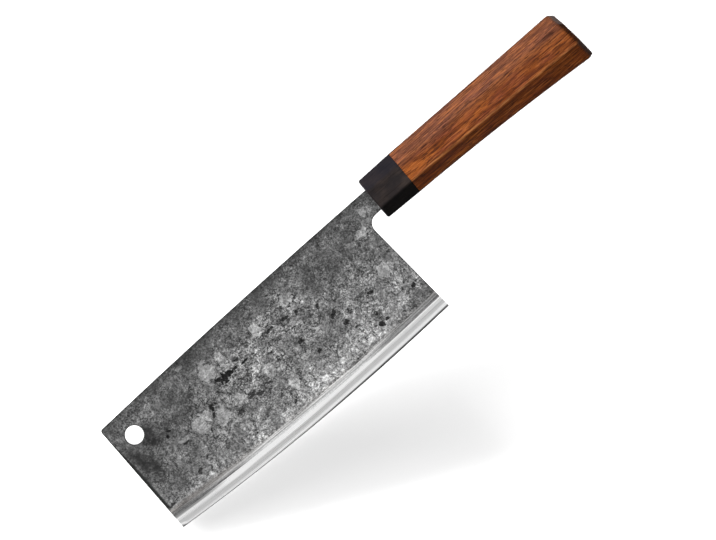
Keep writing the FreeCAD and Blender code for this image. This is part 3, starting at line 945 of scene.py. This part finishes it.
def octagon_ring(section, station, insets=(0, 0, 0), rake=0):
    """Points round an eight-sided section with eased corners, in millimetres along the handle's axis."""
    crown = section[0] - insets[0]
    belly = section[1] - insets[1]
    half_width = section[2] - insets[2]
    facet = half_width - section[5]
    corners = [(crown, facet), (crown - section[3], half_width)]
    corners += [(section[4] - belly, half_width), (-belly, facet)]
    corners = [Vector(corner) for corner in corners + [(y, -z) for y, z in reversed(corners)]]
    ring = []
    for number, corner in enumerate(corners):
        before = corners[number - 1]
        after = corners[(number + 1) % 8]
        start = corner + (before - corner).normalized() * corner_ease
        end = corner + (after - corner).normalized() * corner_ease
        next_start = after + (corner - after).normalized() * corner_ease
        for step in range(corner_points):
            share = step / (corner_points - 1)
            ring.append(between(between(start, corner, share), between(corner, end, share), share))
        for step in range(facet_points):
            ring.append(between(end, next_start, (step + 1) / (facet_points + 1)))
    return [Vector((station - y * math.sin(rake), y * math.cos(rake), z)) for y, z in ring]


def round_ring(like, station, radius):
    """A circle with a point for each point of another ring."""
    ring = []
    for _, y, z in like:
        turn = math.atan2(z, y)
        ring.append(Vector((station, radius * math.cos(turn), radius * math.sin(turn))))
    return ring


def slot_ring(like, station):
    """The neck's slot with a point for each point of another ring, and four of them in its corners."""
    ring = []
    for _, y, z in like:
        reach = max(abs(y) / slot_half_height, abs(z) / slot_half_width)
        ring.append(Vector((station, y / reach, z / reach)))
    for corner_y in (slot_half_height, -slot_half_height):
        for corner_z in (slot_half_width, -slot_half_width):
            corner = Vector((station, corner_y, corner_z))
            ring[min(range(len(ring)), key=lambda n: (ring[n] - corner).length)] = corner
    return ring


def ring_middle(ring):
    return sum(ring, Vector((0, 0, 0))) / len(ring)


def on_handle(point):
    """From millimetres along the handle's axis to metres in the shared frame."""
    x, y, z = point
    along = x * math.cos(handle_droop) + y * math.sin(handle_droop)
    across = y * math.cos(handle_droop) - x * math.sin(handle_droop)
    return handle_origin + Vector((along, across, z)) * millimetre


def ringed_piece(name, rings, joined_up):
    """A closed skin over rings. It runs back into itself, or has a middle point at each end."""
    points = [point for ring in rings for point in ring]
    count = len(rings[0])
    rows = [[*range(start, start + count), start] for start in range(0, len(points), count)]
    middles = []
    if joined_up:
        rows.append(rows[0])
    else:
        middles = [ring_middle(rings[0]), ring_middle(rings[-1])]
        rows = [[len(points)] * (count + 1), *rows, [len(points) + 1] * (count + 1)]
    piece = mesh_object(name, [on_handle(point) for point in points + middles], faces_between(rows))
    close_up(piece)
    smooth_but_sharp(piece, 32)

    # Every ring has the same marks at its corners, and the middle points have none
    ring_marks = {"arris": [], "under_arris_shade": [], "border": []}
    for number in range(count):
        corner, step = divmod(number, corner_points + facet_points)
        at_corner = step < corner_points
        ring_marks["arris"].append(float(corner in arris_corners and at_corner))
        ring_marks["under_arris_shade"].append(float((corner, step) in under_arris_shade_points))
        ring_marks["border"].append(float(corner in outline_shade_corners and at_corner))
    unmarked = [0] * len(middles)
    keep_marks(piece, {mark: values * len(rings) + unmarked for mark, values in ring_marks.items()})
    return piece


def black_wood_finish():
    """Near-black wood, brown cloud, dark fibres; the upper facet bluer by painted sheen, the lower black by
    painted shade.
    """
    material, shader, position = new_finish("black_wood")
    place = handle_place(position)
    fibres = place.stretched((0.06, 1, 1)).cloudy(1.3, 5, 0.65)
    cloud = place.stretched((0.6, 1, 1)).cloudy(0.16, 3, 0.55)
    across = place.axes()[1]
    tint = cloud.step(0.3, 0.7).tint((42, 38, 39), (64, 55, 51))
    tint = fibres.step(0.45, 0.72, 0, 0.6).tint(tint, (20, 16, 16))
    # Painted bluish sheen on the upper facet, then painted black shade on the lower one
    tint = across.step(4, 6.5, 0, 0.6).tint(tint, (27, 27, 37))
    tint = across.step(-6.6, -5, 0.9, 0).tint(tint, (3, 3, 3))
    rough = fibres.step(0.3, 0.7, 0.58, 0.7)
    feed(shader, Base_Color=tint, Roughness=rough, Normal=fibres.bump(0.15, 0.0001), Specular_IOR_Level=0.05)
    return material


front = octagon_ring(mouth_section, 0, (front_ease, front_ease, front_ease))
collar = [slot_ring(front, 0), front]
for setback, inset in ((0.12, 0.62), (0.36, 0.36), (0.62, 0.12), (front_ease, 0)):
    collar.append(octagon_ring(mouth_section, setback, (inset, inset, inset)))
for share in (0.15, 0.3, 0.5, 0.7, 0.85, 0.992):
    section = [between(start, end, share) for start, end in zip(mouth_section, seam_section)]
    collar.append(octagon_ring(section, between(facet_start, ferrule_length, share)))
collar.append(octagon_ring(seam_section, ferrule_length, (seam_ease, seam_ease, seam_ease)))
collar.append(round_ring(front, ferrule_length, bore_radius))
collar.append(round_ring(front, front_wall, bore_radius))
collar.append(slot_ring(front, front_wall))
ferrule = ringed_piece("black_ferrule", collar, True)
ferrule.data.materials.append(black_wood_finish())
stand_for(ferrule, "ferrule")


# Grip. One piece of reddish brown hardwood, planed to eight sides with the grain along it. It swells towards
# a butt that is cut a little aslant and has a broad chamfer round its end.

waist_section = (13.6, 13, 11.2, 7.4, 7.4, 6.8)
butt_section = (14.9, 16.5, 12.5, 7, 10.2, 7.4)
waist_station = 63
butt_station = 131.9
handle_length = 134.7
butt_rake = math.radians(6)
end_insets = (2.3, 1, 1.7)
bore_end = 95.3
side_rings = 49

# Where the tree's heart lay, across and to the side of the handle's axis, for the rings on the sawn end
heart = (0, 34, -12)


def through_three(start, middle, end, middle_share, share):
    """A smooth curve through three points."""
    first = (share - middle_share) * (share - 1) / middle_share
    second = share * (share - 1) / (middle_share * (middle_share - 1))
    third = share * (share - middle_share) / (1 - middle_share)
    return start * first + middle * second + end * third


def reddish_wood_finish():
    """Long brown and reddish streaks with short dark pores, and darker grain on the sawn end, partly painted
    shade.
    """
    material, shader, position = new_finish("reddish_hardwood")
    arris, under_arris_shade, border, end_grain = [position.mark(name) for name in ("arris", "under_arris_shade", "border", "end_grain")]
    place = handle_place(position)
    along, across, _ = place.axes()
    bands = place.stretched((0.03, 0.2, 0.2)).cloudy(1, 3, 0.6)
    hues = place.stretched((0.07, 0.3, 0.3)).cloudy(1, 2, 0.5)
    fibres = place.stretched((0.07, 1, 1)).cloudy(1.3, 5, 0.7)
    threads = place.stretched((0.06, 1.4, 1.4)).cloudy(1, 4, 0.65)
    pore = place.stretched((0.2, 1.9, 1.9)).cloudy(1, 2, 0.5).step(0.55, 0.66)

    # Broad bands, painted sheen above, darker towards the butt, painted shade under lower arrises, threads,
    # pores
    tint = bands.step(0.36, 0.64).tint((128, 62, 22), (184, 101, 42))
    tint = hues.step(0.45, 0.68, 0, 0.6).tint(tint, (146, 75, 50))
    tint = fibres.step(0.42, 0.7, 0, 0.95).tint(tint, (92, 44, 19))
    tint = across.step(0, 7, 0, 0.35).tint(tint, (116, 88, 78))
    tint = along.step(80, 125, 0, 0.2).tint(tint, (84, 40, 20))
    tint = under_arris_shade.step(0, 1, 0, 0.35).tint(tint, (70, 26, 4))
    tint = threads.step(0.5, 0.62, 0, 0.7).tint(tint, (66, 27, 8))
    tint = threads.step(0.36, 0.47, 0.5, 0).tint(tint, (204, 122, 66))
    tint = (pore * 0.8).tint(tint, (54, 25, 12))

    # Painted shade along the outline corners, and a painted highlight on the side facets' lower arrises
    tint = border.step(0.6, 1, 0, 0.5).tint(tint, (48, 24, 12))
    accent_mask = arris.step(0.8, 1) * fibres.step(0.35, 0.6, 0.6, 0.1)
    tint = accent_mask.tint(tint, (214, 142, 86))

    # Rings about the tree's heart on the sawn end
    reach = place.moved(heart).stretched((0, 1, 1)).reach() + hues.swing(5)
    arcs = place.then("ShaderNodeCombineXYZ", {0: reach}).cloudy(0.8, 3, 0.6)
    sawn = arcs.step(0.38, 0.62).tint((36, 17, 10), (70, 36, 20))
    sawn = pore.tint(sawn, (22, 10, 6))
    # The sawn end and its chamfer turn dark, partly end grain and partly painted shade on faces away from the
    # light
    tint = (end_grain * 0.9).tint(tint, sawn)

    bump = (fibres - pore * 0.8).bump(0.25, 0.00012)
    rough = fibres.step(0.3, 0.7, 0.4, 0.52)
    feed(shader, Base_Color=tint, Roughness=rough, Normal=bump, Specular_IOR_Level=0.1)
    return material


seam = octagon_ring(seam_section, ferrule_length)
waist = octagon_ring(waist_section, waist_station)
butt = octagon_ring(butt_section, butt_station, rake=butt_rake)
middle_share = (waist_station - ferrule_length) / (butt_station - ferrule_length)
handle = [round_ring(seam, bore_end, bore_radius * 0.5), round_ring(seam, bore_end, bore_radius)]
handle.append(round_ring(seam, ferrule_length, bore_radius))
handle.append(octagon_ring(seam_section, ferrule_length, (seam_ease, seam_ease, seam_ease)))
for number in range(side_rings):
    share = between(0.0015, 0.994, number / (side_rings - 1))
    handle.append([through_three(*three, middle_share, share) for three in zip(seam, waist, butt)])
last_side_ring = len(handle) - 1
for share in (0.13, 0.35, 0.6, 0.88):
    insets = [inset * share for inset in end_insets]
    handle.append(octagon_ring(butt_section, between(butt_station, handle_length, share), insets, butt_rake))
for inward, sink in ((0.3, 0.05), (0.8, 0.01), (1.6, 0)):
    insets = [inset + inward for inset in end_insets]
    section = (*butt_section[:5], butt_section[5] - inward * 0.4)
    handle.append(octagon_ring(section, handle_length - sink, insets, butt_rake))
sawn_ring = handle[-1]
for share in (0.8, 0.6, 0.4, 0.2):
    handle.append([between(ring_middle(sawn_ring), point, share) for point in sawn_ring])
grip = ringed_piece("hardwood_grip", handle, False)
end_grain = []
for number, ring in enumerate(handle):
    end_grain += [min(max((number - last_side_ring) / 2, 0), 1)] * len(ring)
keep_marks(grip, {"end_grain": end_grain + [0, 1]})
grip.data.materials.append(reddish_wood_finish())
stand_for(grip, "grip")


# Studio. The knife lies on its right side on a plain white sheet, held up by the blade's front end and the
# ferrule's front corner. Three soft lights fall on the knife alone and five on the sheet, because the photo's
# knife is cut out, with only the blade's shadow drawn under it.

# Where the knife touches the sheet: twice near the blade's front end, and once on the ferrule
touch_front = Vector((-0.160159, 0.032628, 0.011214))
touch_edge = Vector((-0.161373, -0.022996, 0.011745))
touch_ferrule = Vector((0.026377, 0.021945, 0.0023))
floor_up = (touch_edge - touch_front).cross(touch_ferrule - touch_front).normalized()
floor_gap = 0.0001
floor_middle = touch_ferrule - floor_up * floor_gap
floor_along = Vector((0, 1, 0)).cross(floor_up).normalized()
floor_across = floor_up.cross(floor_along)
floor_size = 1.3
floor_corners = []
for along, across in ((-1, -1), (1, -1), (1, 1), (-1, 1)):
    floor_corners.append(floor_middle + (floor_along * along + floor_across * across) * floor_size)
floor = mesh_object("white_sheet", floor_corners, [(0, 1, 2, 3)])


def sheet_finish():
    material, shader, position = new_finish("white_sheet")
    tint = position.cloudy(1.5, 2, 0.5).tint((222, 222, 222), (226, 226, 226))
    feed(shader, Base_Color=tint, Roughness=0.9, Specular_IOR_Level=0)
    return material


floor.data.materials.append(sheet_finish())
floor.visible_diffuse = False


def group_of(name, pieces):
    """Pieces that a light falls on, or that block it."""
    group = bpy.data.collections.new(name)
    for piece in pieces:
        group.objects.link(bpy.data.objects[piece])
    return group


blade_pieces = ["core_steel", "forged_cladding_left", "forged_cladding_right"]
handle_pieces = ["black_ferrule", "hardwood_grip"]
hidden_pieces = ["dowel_left", "dowel_right", "tang_bedding"]
knife_only = group_of("knife_only", blade_pieces + hidden_pieces + handle_pieces)
sheet_only = group_of("sheet_only", ["white_sheet"])
blade_only = group_of("blade_only", blade_pieces)
handle_only = group_of("handle_only", handle_pieces)


def soft_light(name, place, aim, width, watts, lit, blocked_by=None):
    """A square light in watts, for a group of pieces. Others let it through where the blockers are named."""
    light = bpy.data.lights.new(name, "AREA")
    light.shape = "SQUARE"
    light.size = width
    light.energy = watts
    lamp = bpy.data.objects.new(name, light)
    bpy.context.scene.collection.objects.link(lamp)
    lamp.location = place
    lamp.rotation_euler = (Vector(aim) - Vector(place)).to_track_quat("-Z", "Y").to_euler()
    lamp.visible_camera = False
    lamp.light_linking.receiver_collection = lit
    if blocked_by:
        lamp.light_linking.blocker_collection = blocked_by
    return light


middle_of_sheet = (0, 0, 0)
soft_light("overhead", (0, 0, 2), middle_of_sheet, 1.6, 4.8, knife_only)
soft_light("beyond_spine", (-0.6, 1.35, 1.9), middle_of_sheet, 1, 62, knife_only)
soft_light("spine_strip", (-0.2, 2.6, 0.35), (0, 0, 0.1), 1.1, 9, knife_only)
soft_light("over_sheet", (0, 0, 3), middle_of_sheet, 4, 134, sheet_only, handle_only)

# A small light keeps the sheet white in the hole
hole_light = to_frame(*hole_centre, 25)
under_hole = hole_light - Vector((0, 0, 0.03))
soft_light("over_hole", hole_light, under_hole, 0.01, 0.006, sheet_only, sheet_only)

# Low strips beyond the spine throw the blade's long soft shadow
strip_distance = 2
strip_height = 0.149
for bearing in (80, 110, 140):
    turn = math.radians(bearing)
    low_place = (strip_distance * math.cos(turn), strip_distance * math.sin(turn), strip_height)
    strip = soft_light("low_strip", low_place, middle_of_sheet, 1.07, 270, sheet_only, blade_only)
    strip.shape = "RECTANGLE"
    strip.size_y = 0.123

# The backdrop is white to the camera, a soft glow in reflections and faint elsewhere
scene = bpy.context.scene
world = bpy.data.worlds.new("studio")
world.use_nodes = True
scene.world = world
backdrop = world.node_tree.nodes["Background"]
rays = add(world.node_tree, "ShaderNodeLightPath").outputs
in_gloss = Pattern(world.node_tree, rays["Is Glossy Ray"])
in_view = Pattern(world.node_tree, rays["Is Camera Ray"])
give(backdrop.inputs["Strength"], in_view.mix(in_gloss.mix(0.06, 0.25), 1))
backdrop.inputs["Color"].default_value = (1, 1, 1, 1)
scene.view_settings.view_transform = "Standard"

# The camera looks straight down, turned as in the photo, with a set width in view at the blade
camera_height = 3
view_width = 0.3723
photo_turn = math.radians(-42.24)
eye = bpy.data.cameras.new("camera")
eye.sensor_width = 36
eye.lens = eye.sensor_width * (camera_height - knife_origin.z) / view_width
eye.clip_end = 20
camera = bpy.data.objects.new("camera", eye)
scene.collection.objects.link(camera)
camera.location = (-0.00454, 0.0059, camera_height)
camera.rotation_euler = (0, 0, photo_turn)
scene.camera = camera
